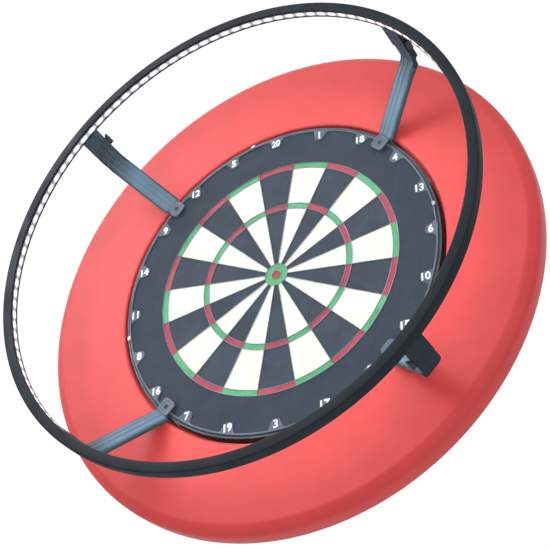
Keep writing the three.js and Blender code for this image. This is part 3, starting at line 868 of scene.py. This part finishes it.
@dataclass
class Dartboard:
    """The board itself: sisal, back board, band, spider and number ring.

    The beds' bounds are those of a bristle board. A gap is what a piece lies inside the band's outside.
    """

    rack: FinishRack
    radius: float = 225.5
    depth: float = 38.0
    sisal_back: float = -28.0
    sisal_gap: float = 1.3
    chamfer: float = 0.6
    row: float = 5.0
    back_gap: float = 1.4
    bolt_hole: float = 2.9
    band_wall: float = 1.0
    band_lip: float = 0.9
    beds: tuple[float, ...] = (6.35, 15.9, 99.0, 107.0, 162.0, 170.0)
    wire: float = 0.4
    number_wire: float = 220.3
    badge_depth: float = 14.6
    badge_half: float = 13.0
    numeral_height: float = 11.0
    numeral_width: float = 12.6

    def playing_face(self) -> None:
        """Makes the sisal: a disc whose rows of quads end on the beds' bounds.

        The surface rises by 0.09 sin(r / 7) cos(10 a) + 0.05 sin(r / 3 + 4 a) mm between the middle and
        the rim, where it is chamfered.
        """
        rim = self.radius - self.sisal_gap
        bounds = np.array([0.0, *self.beds, rim - self.chamfer])
        counts = np.maximum(2, np.ceil(np.diff(bounds) / self.row).astype(int))
        inner = np.concatenate([np.linspace(lo, hi, n, endpoint=False)
                                for lo, hi, n in zip(bounds[:-1], bounds[1:], counts)])
        radii = np.concatenate([[0.0, rim, rim], [rim - self.chamfer], inner[::-1]])
        low = self.sisal_back
        heights = np.concatenate([[low, low, -self.chamfer], np.zeros(len(inner) + 1)])
        shell = lathe(np.stack([radii, heights], axis=1), steps=720)
        x, y, z = shell.points.T
        r, a = np.hypot(x, y), np.arctan2(y, x)
        swell = 0.09 * np.sin(r / 7.0) * np.cos(10.0 * a) + 0.05 * np.sin(r / 3.0 + 4.0 * a)
        uneven = (z > -0.5 * self.chamfer) & (r > 2.0) & (r < rim - 2.0)
        shell.points[:, 2] = np.where(uneven, z + swell, z)
        middle = shell.points[shell.quads].mean(axis=1)
        r, a = np.hypot(middle[:, 0], middle[:, 1]), np.arctan2(middle[:, 1], middle[:, 0])
        odd = np.floor((np.rad2deg(a) - 90.0 + 0.5 * SECTOR) / SECTOR).astype(int) % 2 == 1
        singles = np.where(odd, Bed.CREAM.value, Bed.BLACK.value)
        scoring = np.where(odd, Bed.GREEN.value, Bed.RED.value)
        bull, outer, treble, treble_end, double, double_end = self.beds
        shell.sorts = np.select(
            [middle[:, 2] < -0.5, r < bull, r < outer, r < treble, r < treble_end, r < double,
             r < double_end],
            [Bed.BORDER.value, Bed.RED.value, Bed.GREEN.value, singles, scoring, singles, scoring],
            Bed.BORDER.value,
        )
        make("playing_face", shell, Fitting("board", "sisal", ("sisal_face",)), self.rack.beds)

    def body(self) -> None:
        """Makes the back board and the rolled steel band."""
        rim, back = self.radius - self.back_gap, -self.depth
        front = self.sisal_back - 0.3
        corners = [(self.bolt_hole, back), (rim, back), (rim, front), (self.bolt_hole, front)]
        fitting = Fitting("board", "fibreboard", ("back_board",))
        make("pressed_back", lathe(rounded(corners, 0.5, 4)), fitting, [self.rack.board])
        inner, outer, lip = self.radius - self.band_wall, self.radius, self.band_lip
        corners = [(inner, back), (outer, back), (outer, -0.2), (outer - 0.3, 0.0), (inner - 1.3, 0.0),
                   (inner - 1.3, -0.7), (inner, -lip)]
        shell = lathe(rounded(corners, 0.3, 4), steps=360)
        shell.marks["edge"] = np.clip((shell.points[:, 2] + 1.2) / 1.2, 0.0, 1.0)
        make("steel_band", shell, Fitting("board", "band_black", ("steel_band",)), [self.rack.band])

    def spider(self) -> None:
        """Makes the web: a ring at each bound, and twenty blades of a roof-shaped section."""
        half = self.wire
        hoops = [hoop(r, 0.75, half, 0.5, 8, 240 if r > 50.0 else 96) for r in self.beds]
        roof = np.array([(-half, 0.2), (half, 0.2), (0.5 * half, 1.0), (0.0, 1.3), (-0.5 * half, 1.0)])
        reach = np.array([self.beds[1], self.beds[-1]])
        block = np.stack([np.broadcast_to(reach[:, None], (2, 5)), np.broadcast_to(roof[:, 0], (2, 5)),
                          np.broadcast_to(roof[:, 1], (2, 5))], axis=-1)
        blade = grid(block, loop=False, capped=True)
        blades = [blade.turned(0.5 * SECTOR + SECTOR * k) for k in range(20)]
        make("spider_web", merged(hoops + blades), Fitting("board", "spider_wire", ("spider",)),
             [self.rack.wire])

    def badge(self) -> Shell:
        """Works out one badge: a hump that flares into the wire.

        Its edge lies h(s) times its depth inside the wire at s times its half width to the side, where
        h = (g(s) - g(1)) / (1 - g(1)) and g(s) = 1 / (1 + (|s| / 0.62) ^ 5). A field stands on it, half a
        millimetre inside its edge.

        Returns:
            The badge, at the right of the board; its rim is of sort 1.
        """
        s = np.linspace(-1.0, 1.0, 41)
        g = 1.0 / (1.0 + (np.abs(s) / 0.62) ** 5)
        h = (g - g[0]) / (1.0 - g[0])
        half, reach = self.badge_half, self.number_wire + 0.2
        inner = np.stack([self.number_wire - 0.7 - self.badge_depth * h, half * s], axis=1)
        outline = np.concatenate([inner, [[reach, half], [reach, -half]]])
        rim, top = slab(outline, 0.45, 1.45, 0.2), slab(inset(outline, 0.55), 1.2, 1.65, 0.15)
        rim.sorts = np.ones(len(rim.quads), int)
        return merged([rim, top])

    def numeral(self, text: str) -> tuple[Array, list[list[int]]]:
        """Makes the points and faces of one number, upright about the origin.

        Args:
            text: the number.

        Returns:
            The points, in millimetres, and the faces.
        """
        half_thick, raised = 0.02, 0.22
        curve = bpy.data.curves.new("numeral", "FONT")
        curve.body = text
        curve.extrude = half_thick
        curve.offset = 0.03
        curve.resolution_u = 4
        writing = linked("numeral", curve)
        bpy.context.view_layer.update()
        mesh = bpy.data.meshes.new_from_object(writing.evaluated_get(bpy.context.evaluated_depsgraph_get()))
        points = np.empty(3 * len(mesh.vertices))
        mesh.vertices.foreach_get("co", points)
        points = points.reshape(-1, 3)
        faces = [list(face.vertices) for face in mesh.polygons]
        bpy.data.objects.remove(writing)
        bpy.data.curves.remove(curve)
        bpy.data.meshes.remove(mesh)
        low, high = points.min(0), points.max(0)
        points = points - (low + high) / 2.0
        scale = self.numeral_height / (high[1] - low[1])
        squeeze = min(scale, self.numeral_width / (high[0] - low[0]))
        return points * np.array([squeeze, scale, raised / half_thick]), faces

    def number_ring(self) -> None:
        """Makes the wire, its badges and the numbers on them."""
        badge = self.badge()
        badges = [badge.turned(SECTOR * k) for k in range(20)]
        fitting = Fitting("number_ring", "number_white", ("number_ring",))
        wire = hoop(self.number_wire, 1.35, 1.15, 0.95, 12, 360)
        wire.sorts = np.ones(len(wire.quads), int)
        make("number_wire", merged([wire, *badges]), fitting, [self.rack.badge, self.rack.badge_rim])
        points, faces, start = [], [], 0
        reach, height = self.number_wire - 0.5 * self.badge_depth - 0.6, 1.83
        for k, number in enumerate(CLOCK_ORDER):
            a = np.deg2rad(90.0 - SECTOR * k)
            dots, shapes = self.numeral(str(number))
            points.append(dots + np.array([reach * np.cos(a), reach * np.sin(a), height]))
            faces += [[v + start for v in shape] for shape in shapes]
            start += len(dots)
        shell = Shell(np.concatenate(points), np.empty((0, 4), int), faces)
        make("numerals", shell, Fitting("number_ring", "number_white"), [self.rack.numeral])

    def clips(self) -> None:
        """Rounds the number ring's four clips."""
        for k in range(1, 5):
            node = f"number_ring_clip_{k}"
            softened(node, f"ring_clip_{k}", "board", "clip_steel", self.rack.clip)

    def build(self) -> None:
        """Makes every piece of the board."""
        self.playing_face()
        self.body()
        self.spider()
        self.number_ring()
        self.clips()


@dataclass
class Surround:
    """The foam ring round the board."""

    rack: FinishRack
    grip: float = 226.0
    bore: float = 230.0
    radius: float = 346.0
    back: float = -34.0
    front: float = -1.0
    shoulder: float = 19.0

    def build(self) -> None:
        """Makes the foam: a turned profile, uneven by a few tenths of a millimetre.

        The front rises by (0.35 sin(3 a + 0.6) + 0.12 sin(11 a) - 0.35) sin(pi u), where u runs from 0 at
        the bore to 1 at the shoulder.
        """
        corners = [
            (self.grip, self.back), (self.radius - 1.0, self.back), (self.radius, -20.0),
            (self.radius - 0.2, self.front - 6.5), (self.radius - 12.5, self.front),
            (288.0, self.front), (self.bore, self.front), (self.bore, -13.0), (self.grip, -13.0),
        ]
        radii = (1.0, 6.0, 9.0, 12.0, 15.0, 10.0, 5.0, 0.6, 0.6)
        shell = lathe(rounded(corners, radii, 9), steps=480)
        x, y, z = shell.points.T
        r, a = np.hypot(x, y), np.arctan2(y, x)
        u = np.clip((r - self.bore) / (self.radius - self.shoulder - self.bore), 0.0, 1.0)
        waves = 0.35 * np.sin(3.0 * a + 0.6) + 0.12 * np.sin(11.0 * a)
        swell = (waves - 0.35) * np.sin(np.pi * u)
        shell.points[:, 2] = np.where(z > self.front - 2.0, z + swell, z)
        fitting = Fitting("surround", "surround_foam", ("surround",))
        piece = make("foam_surround", shell, fitting, [self.rack.foam], crease=50.0)


@dataclass
class RingLight:
    """The light's ring: housing, strips, covers, sockets, catches and inlet."""

    rack: FinishRack
    inner: float = 311.5
    outer: float = 324.8
    front: float = 138.2
    window: tuple[float, float] = (127.3, 134.6)
    wall: float = 1.7
    strip_gap: float = 3.1
    strip_thick: float = 0.8
    strip_span: tuple[float, float] = (127.0, 136.0)
    lamps: int = 120
    lamp_half: float = 2.5
    lamp_height: float = 130.7
    cover_gap: float = 0.4
    cover_thick: float = 1.0

    def back(self, r: float) -> float:
        """Returns the height of the sloping back at a radius."""
        return 125.0 - 2.5 * (r - self.inner) / (self.outer - self.inner)

    def quarter(self, profile: Array, k: int, steps: int, gap: float = 0.05) -> Shell:
        """Carries a profile over quarter k, less half the seam, in millimetres, at each end."""
        slack = gap / self.inner
        return lathe(profile, steps, np.deg2rad(LEG_TURNS[k]) + slack, QUARTER - 2.0 * slack)

    def housing(self) -> Array:
        """Returns the housing's section: a channel, open to the middle, with rounded outer corners."""
        lip, wall = self.inner + 1.8, self.wall
        low, high = self.window
        corners = [
            (self.inner, self.back(self.inner)), (self.outer, self.back(self.outer)),
            (self.outer, self.front), (self.inner, self.front), (self.inner, high), (lip, high),
            (lip, self.front - wall), (self.outer - wall, self.front - wall),
            (self.outer - wall, self.back(self.outer - wall) + wall), (lip, self.back(lip) + wall),
            (lip, low), (self.inner, low),
        ]
        return rounded(corners, (0.5, 1.6, 2.0, 1.2, 0.35, 0.2, 0.2, 0.2, 0.2, 0.2, 0.2, 0.35), 5)

    def strip(self, k: int) -> Shell:
        """Makes one strip with its share of the lamps: small rounded blocks, of sort 1."""
        r, (low, high) = self.inner + self.strip_gap, self.strip_span
        outer = r + self.strip_thick
        band = np.array([(r, low), (outer, low), (outer, high), (r, high)])
        lamp = slab(rectangle(self.lamp_half, self.lamp_half, 0.6, 2), r - 0.9, r + 0.1, 0.4)
        lamp.points = lamp.points[:, [2, 0, 1]] + np.array([0.0, 0.0, self.lamp_height])
        lamp.sorts = np.ones(len(lamp.quads), int)
        lamp.marks["glow"] = np.ones(len(lamp.points))
        pitch = 360.0 / self.lamps
        turns = LEG_TURNS[k] + pitch * (0.5 + np.arange(self.lamps // 4))
        return merged([self.quarter(band, k, 91, 1.0), *(lamp.turned(turn) for turn in turns)])

    def cover(self, k: int) -> Shell:
        """Makes one cover, with its glow worked out from the lamps behind it.

        The glow is exp(-(s / 5.8)^2 - (h / 2.7)^2), where s and h are the distances in millimetres to the
        nearest lamp, round the ring and in height.
        """
        low, high = self.window[0] + 0.3, self.window[1] - 0.3
        face = self.inner + self.cover_gap
        z = np.linspace(high, low, 13)
        radii = np.repeat([face, face + self.cover_thick], len(z))
        shell = self.quarter(np.stack([radii, np.concatenate([z, z[::-1]])], axis=1), k, 541)
        x, y, z = shell.points.T
        pitch = FULL_TURN / self.lamps
        turn = np.mod(np.arctan2(y, x) - np.deg2rad(LEG_TURNS[0]), pitch) - 0.5 * pitch
        across = turn * np.hypot(x, y)
        shell.marks["glow"] = np.exp(-((across / 5.8) ** 2) - ((z - self.lamp_height) / 2.7) ** 2)
        return shell

    def socket_ribs(self, k: int) -> Shell:
        """Makes the three ribs on a socket's inner wall, which carry on the leg's.

        They stand 0.6 clip(1.5 cos(2 pi t / pitch) + 0.5) mm proud, t mm from the middle, where clip keeps
        within 0 and 1.
        """
        t = np.linspace(-11.0, 11.0, 89)
        proud = 0.6 * np.clip(1.5 * np.cos(FULL_TURN * t / RIB_PITCH) + 0.5, 0.0, 1.0)
        wall = self.inner + 1.3
        across = np.concatenate([t, t[::-1]])
        r = np.concatenate([wall - 0.05 - proud, np.full(len(t), wall)])
        z = np.array([86.2, 86.8, 122.0, 124.2])
        rise = np.array([0.4, 1.0, 1.0, 0.4])[:, None]
        block = np.stack([wall - (wall - r) * rise, np.broadcast_to(across, (4, len(across))),
                          np.broadcast_to(z[:, None], (4, len(across)))], axis=-1)
        return grid(block, loop=False, capped=True).turned(LEG_TURNS[k])

    def build(self) -> None:
        """Makes the ring's pieces and rounds the small ones."""
        body = "light_ring"
        for k in range(4):
            n = k + 1
            shell = self.quarter(self.housing(), k, 121)
            z = shell.points[:, 2]
            shell.marks["edge"] = np.clip(1.0 - np.abs(z - self.front + 0.3) / 0.9, 0.0, 1.0)
            make(f"ring_quarter_{n}", shell, Fitting(body, "ring_plastic", (f"ring_segment_{n}",)),
                 [self.rack.ring])
            make(f"lamp_strip_{n}", self.strip(k), Fitting(body, "led_strip", (f"led_strip_{n}",)),
                 [self.rack.strip, self.rack.lamp])
            make(f"clear_cover_{n}", self.cover(k), Fitting(body, "light_cover", (f"light_cover_{n}",)),
                 [self.rack.cover])
            softened(f"ring_joiner_{n}", f"joiner_{n}", body, "ring_plastic", self.rack.socket)
            # A socket's faces towards the axis take the dark leg colour and its other faces the near-black:
            # lit and shaded copies of one plastic, painted light and shade.
            softened(f"socket_{n}", f"leg_socket_{n}", body, "ring_plastic", self.rack.socket,
                     self.rack.leg_shade, self.socket_ribs(k))
            softened(f"catch_{n}", f"thumb_catch_{n}", f"catch_{n}", "catch_plastic", self.rack.catch)
        softened("dc_inlet", "power_inlet", body, "ring_plastic", self.rack.socket)


@dataclass
class Leg:
    """One leg: arm, elbow and tongue in one moulding, its foot cap, screw and rubber grip."""

    rack: FinishRack
    number: int
    turn: float
    foot: tuple[float, float] = (228.0, 6.0)
    elbow: tuple[float, float] = (312.7, 62.8)
    top: float = 85.7
    half_width: float = 13.3
    arm_depth: float = 7.0
    upright_depth: float = 9.4
    rib_height: float = 0.9
    hold_half: float = 9.0

    def section(self) -> tuple[Array, Array, Array]:
        """Works out the arm's section: three ribs between two bevelled sides, and a plain back.

        Across the inner face the depth is rib height times (1 - clip(3 cos(2 pi t / pitch) + 1)) / 2, where
        clip keeps within -1 and 1; from 10.3 mm off the middle it is 0.2 mm plus 0.7 of the way past that.

        Returns:
            Positions across, depths below the inner face, and 1 for each point of the back.
        """
        t = np.linspace(-self.half_width, self.half_width, 109)
        crest = np.clip(3.0 * np.cos(FULL_TURN * t / RIB_PITCH) + 1.0, -1.0, 1.0)
        depth = 0.5 * self.rib_height * (1.0 - crest)
        depth = np.where(np.abs(t) > 10.3, 0.7 * (np.abs(t) - 10.3) + 0.2, depth)
        q, corner = np.linspace(0.0, QUARTER, 6), 1.6
        corner_t = self.half_width - corner * (1.0 - np.cos(q))
        corner_d = self.arm_depth - corner * (1.0 - np.sin(q))
        across = np.concatenate([t, corner_t, -corner_t[::-1]])
        depths = np.concatenate([depth, corner_d, corner_d[::-1]])
        return across, depths, np.concatenate([np.zeros(len(t)), np.ones(2 * len(q))])

    def arm(self) -> Shell:
        """Carries the section from the foot to the elbow and forwards to the socket.

        A point is path - depth x normal, where the normal is the path's direction turned a quarter turn
        to the inner side. Behind the elbow the outer corners are rounded by 5 mm. The shade mark, painted
        shade that darkens the inner face towards the ring, runs from 0 to 1 over the 34 mm of height that
        start 26 mm behind the elbow.

        Returns:
            The arm, in the leg's frame.
        """
        foot, p = np.array(self.foot), np.array(self.elbow)
        r1, z1 = self.elbow
        s = np.linspace(0.0, 1.0, 17)[:, None]
        reach, outer_round = 7.0, 5.0
        ahead = (p - foot) / np.linalg.norm(p - foot)
        bend_in, bend_out = p - reach * ahead, p + np.array([0.0, reach])
        bend = (1 - s) ** 2 * bend_in + 2 * s * (1 - s) * p + s**2 * bend_out
        slope = np.linspace(foot, bend_in, 40)[:-1]
        upright = np.linspace(bend_out, np.array([r1, self.top]), 8)[1:]
        path = np.concatenate([slope, bend, upright])
        along = np.gradient(path, axis=0)
        along /= np.linalg.norm(along, axis=1, keepdims=True)
        normal = np.stack([-along[:, 1], along[:, 0]], axis=1)
        across, depths, back = self.section()
        share = np.clip((path[:, 1] - z1 + 12.0) / 12.0, 0.0, 1.0)
        depth = depths[None, :] + share[:, None] * (self.upright_depth - self.arm_depth) * back[None, :]
        r = path[:, :1] - normal[:, :1] * depth
        z = path[:, 1:] - normal[:, 1:] * depth
        t = np.broadcast_to(across, r.shape)
        drop = np.clip((z1 + 5.5 - z) / outer_round, 0.0, 1.0)
        limit = self.half_width - outer_round * (1.0 - np.sqrt(1.0 - drop**2))
        outer = np.clip((r - r1 - 3.0) / 3.0, 0.0, 1.0)
        t = np.where(np.abs(t) > limit, np.sign(t) * (limit * outer + np.abs(t) * (1.0 - outer)), t)
        shell = grid(np.stack([r, t, z], axis=-1), loop=False, capped=True)
        drop = np.minimum(depths / self.rib_height, 1.0)
        shell.marks["edge"] = np.tile(np.where(back > 0.5, 0.0, 4.0 * drop * (1.0 - drop)), len(path))
        # Painted shade, darkening the inner face towards the ring.
        share = np.clip((path[:, 1] - z1 + 26.0) / 34.0, 0.0, 1.0)
        shell.marks["shade"] = np.repeat(share**2 * (3.0 - 2.0 * share), len(across))
        # Painted shade: the bevelled sides and the back take darker finishes than the ribbed inner face,
        # those of the slope sort 2 and those of the bend and upright sort 1.
        station = np.repeat(np.arange(len(path) - 1), len(across))
        face = (np.tile(back, len(path) - 1) < 0.5) & (np.abs(np.tile(across, len(path) - 1)) < 11.2)
        shell.sorts = np.select([face, station < len(slope)], [0, 2], 1)
        return shell

    def build(self) -> None:
        """Makes the leg and its small pieces."""
        n, body, half = self.number, "light_legs", self.hold_half
        notch = half - 2.8
        plate = plank(rounded([(208.2, 3.2), (227.1, 3.2), (227.1, -10.0), (228.6, -10.0), (228.6, 2.2),
                               (230.6, 4.4), (208.2, 4.4)], 0.4, 4), half)
        heel = plank(rounded([(228.0, 0.4), (231.9, 0.3), (231.9, 5.0), (228.4, 5.9)], 0.2, 3), half)
        tongue = slab(rounded([(-half, 82.0), (half, 82.0), (half, 115.0), (-half, 115.0), (-half, 100.0),
                               (-notch, 100.0), (-notch, 90.0), (-half, 90.0)], 0.4, 4), 315.3, 319.5, 0.4)
        tongue.points = tongue.points[:, [2, 0, 1]]
        leg = merged([self.arm(), plate, heel, tongue]).turned(self.turn)
        # Sort 1 is the socket's near-black and sort 2 the dark leg colour, painted shade on the sides and
        # back of the one moulding.
        make(f"ribbed_leg_{n}", leg, Fitting(body, "leg_plastic", (f"leg_{n}",)),
             [self.rack.leg, self.rack.socket, self.rack.leg_shade])
        self.foot_cap()
        softened(f"foot_screw_{n}", f"cap_screw_{n}", body, "fixing_steel", self.rack.screw)
        softened(f"rim_grip_{n}", f"rubber_grip_{n}", body, "rubber", self.rack.rubber)

    def foot_cap(self) -> None:
        """Makes the cap: a rounded square in rings that shrink to the recess round the screw."""
        middle, outline = 217.05, rectangle(10.35, 10.25, 5.5, 9)
        scales = np.array([0.97, 1.0, 1.0, 0.985, 0.95, 0.90, 0.74, 0.70, 0.67, 0.60, 0.2])
        heights = np.array([4.7, 4.9, 6.0, 6.3, 6.4, 6.42, 6.4, 6.25, 5.95, 5.85, 5.85])
        shell = stacked(scales[:, None, None] * outline[None], heights)
        shell.marks["edge"] = np.repeat((heights > 6.2).astype(float), len(outline))
        shell = shell.shifted(middle, 0.0).turned(self.turn)
        make(f"rim_cap_{self.number}", shell,
             Fitting("light_legs", "leg_plastic", (f"foot_cap_{self.number}",)), [self.rack.cap])


@dataclass
class WallSide:
    """What holds the board to the wall: bracket, fixing plate, screw and bumpers."""

    rack: FinishRack

    def screw(self) -> None:
        """Makes the hanging screw: a domed head on a shank with a rounded thread."""
        under_head, tip, pitch = -43.4, -30.0, 1.25
        z = np.linspace(under_head, tip, 54)
        thread = 2.35 + 0.15 * np.cos(FULL_TURN * (z - under_head) / pitch)
        head = np.array([(0.0, -47.4), (2.2, -47.35), (4.2, -47.0), (5.5, -46.2), (6.0, -45.2),
                         (6.0, -43.8), (5.7, under_head)])
        profile = np.concatenate([head, np.stack([thread, z], axis=1), [(0.0, tip)]])
        make("hanging_bolt", lathe(profile, steps=48), Fitting("board", "fixing_steel", ("hanging_screw",)),
             [self.rack.zinc])

    def bumpers(self) -> None:
        """Makes the three bumpers: turned cones with a dished, rounded foot."""
        low, high = -FACE_TO_WALL + 0.3, -38.3
        profile = np.array([(0.0, low + 1.2), (4.5, low + 0.7), (7.2, low + 0.05), (8.4, low),
                            (9.0, low + 0.7), (9.8, -0.5 * (abs(low) + abs(high))), (11.4, high - 1.2),
                            (12.0, high - 0.5), (11.7, high), (0.0, high)])
        reach = 190.0
        for k, turn in enumerate((90.0, 210.0, 330.0)):
            a = np.deg2rad(turn)
            shell = lathe(profile, steps=48).shifted(reach * np.cos(a), reach * np.sin(a))
            make(f"wall_bumper_{k + 1}", shell, Fitting("board", "rubber", (f"rear_bumper_{k + 1}",)),
                 [self.rack.rubber])

    def build(self) -> None:
        """Makes the pieces behind the board."""
        self.screw()
        self.bumpers()
        softened("fixing_plate", "back_plate", "board", "fixing_steel", self.rack.zinc)
        softened("wall_bracket", "wall_hanger", "wall_bracket", "bracket_black", self.rack.bracket)


# Studio


@dataclass
class Studio:
    """Floor, light and camera. Places and lengths are in metres, the lens in millimetres."""

    floor_height: float = -1.73
    camera_place: tuple[float, float, float] = (0.66875, -1.29726, -0.93601)
    right: tuple[float, float, float] = (0.88087, 0.47335, 0.00166)
    up: tuple[float, float, float] = (0.26019, -0.48711, 0.83368)
    lens: float = 87.21

    def camera(self) -> None:
        """Sets the camera from its place and two of its axes; the third is their cross product."""
        right, up = np.array(self.right), np.array(self.up)
        back = np.cross(right, up)
        data = bpy.data.cameras.new("camera")
        data.sensor_width = 36.0
        data.lens = self.lens
        camera = linked("camera", data)
        pose = np.eye(4)
        pose[:3, :4] = np.stack([right, up, back, np.array(self.camera_place)], axis=1)
        camera.matrix_world = Matrix(pose.tolist())
        bpy.context.scene.camera = camera

    def floor(self) -> None:
        """Makes the pale floor that the wall stands on."""
        mesh = bpy.data.meshes.new("floor")
        side = 6.0
        corners = [(-side, -side), (side, -side), (side, side), (-side, side)]
        mesh.from_pydata([(x, y, self.floor_height) for x, y in corners], [], [(0, 1, 2, 3)])
        floor = linked("floor", mesh)
        material = bpy.data.materials.new("floor_pale")
        material.use_nodes = True
        shader = node_of(material.node_tree, "BSDF_PRINCIPLED")
        Wiring(material.node_tree).feed(shader, {"Base Color": (0.86, 0.86, 0.86), "Roughness": 0.9})
        dress(floor, [material])

    def lamp(self, name: str, place: tuple[float, float, float], power: float, size: float) -> None:
        """Adds a square lamp that faces the middle of the board.

        Args:
            name: its name.
            place: where it stands, in metres.
            power: in watts.
            size: its side in metres.
        """
        data = bpy.data.lights.new(name, "AREA")
        data.energy = power
        data.size = size
        lamp = linked(name, data)
        lamp.location = place
        back = np.array(place) - np.array([0.0, -0.06, 0.0])
        lamp.rotation_mode = "QUATERNION"
        lamp.rotation_quaternion = Vector(back.tolist()).to_track_quat("Z", "Y")

    def sky(self) -> None:
        """Makes the world: white to the camera, and as light a soft grey, brighter above than below."""
        world = bpy.data.worlds.new("studio")
        world.use_nodes = True
        bpy.context.scene.world = world
        w = Wiring(world.node_tree)
        path = w.add("ShaderNodeLightPath").outputs["Is Camera Ray"]
        height = w.add("ShaderNodeSeparateXYZ", {0: w.add("ShaderNodeTexCoord").outputs["Generated"]})
        given = w.add("ShaderNodeMapRange", {"Value": height.outputs[2], "From Min": -0.6, "From Max": 0.6,
                                             "To Min": 0.14, "To Max": 0.80}).outputs[0]
        white = {"Color": (1.0, 1.0, 1.0), "Strength": w.run(path, given, 1.02)}
        w.feed(node_of(w.tree, "BACKGROUND"), white)

    def build(self) -> None:
        """Sets up the whole studio."""
        self.camera()
        self.floor()
        self.sky()
        self.lamp("key", (-0.95, -1.55, 1.15), 15.0, 1.3)
        self.lamp("fill", (1.1, -1.6, -0.2), 5.0, 1.2)
        self.lamp("kick", (-0.85, -0.75, 0.70), 4.0, 0.6)
        bpy.context.scene.view_settings.view_transform = "Standard"


def main() -> None:
    """Builds the studio and every piece."""
    logging.basicConfig(level=logging.INFO, format="%(name)s: %(message)s")
    Studio().build()
    rack = FinishRack()
    Dartboard(rack).build()
    Surround(rack).build()
    RingLight(rack).build()
    for k, turn in enumerate(LEG_TURNS):
        Leg(rack, k + 1, turn).build()
    WallSide(rack).build()


if __name__ == "__main__":
    main()
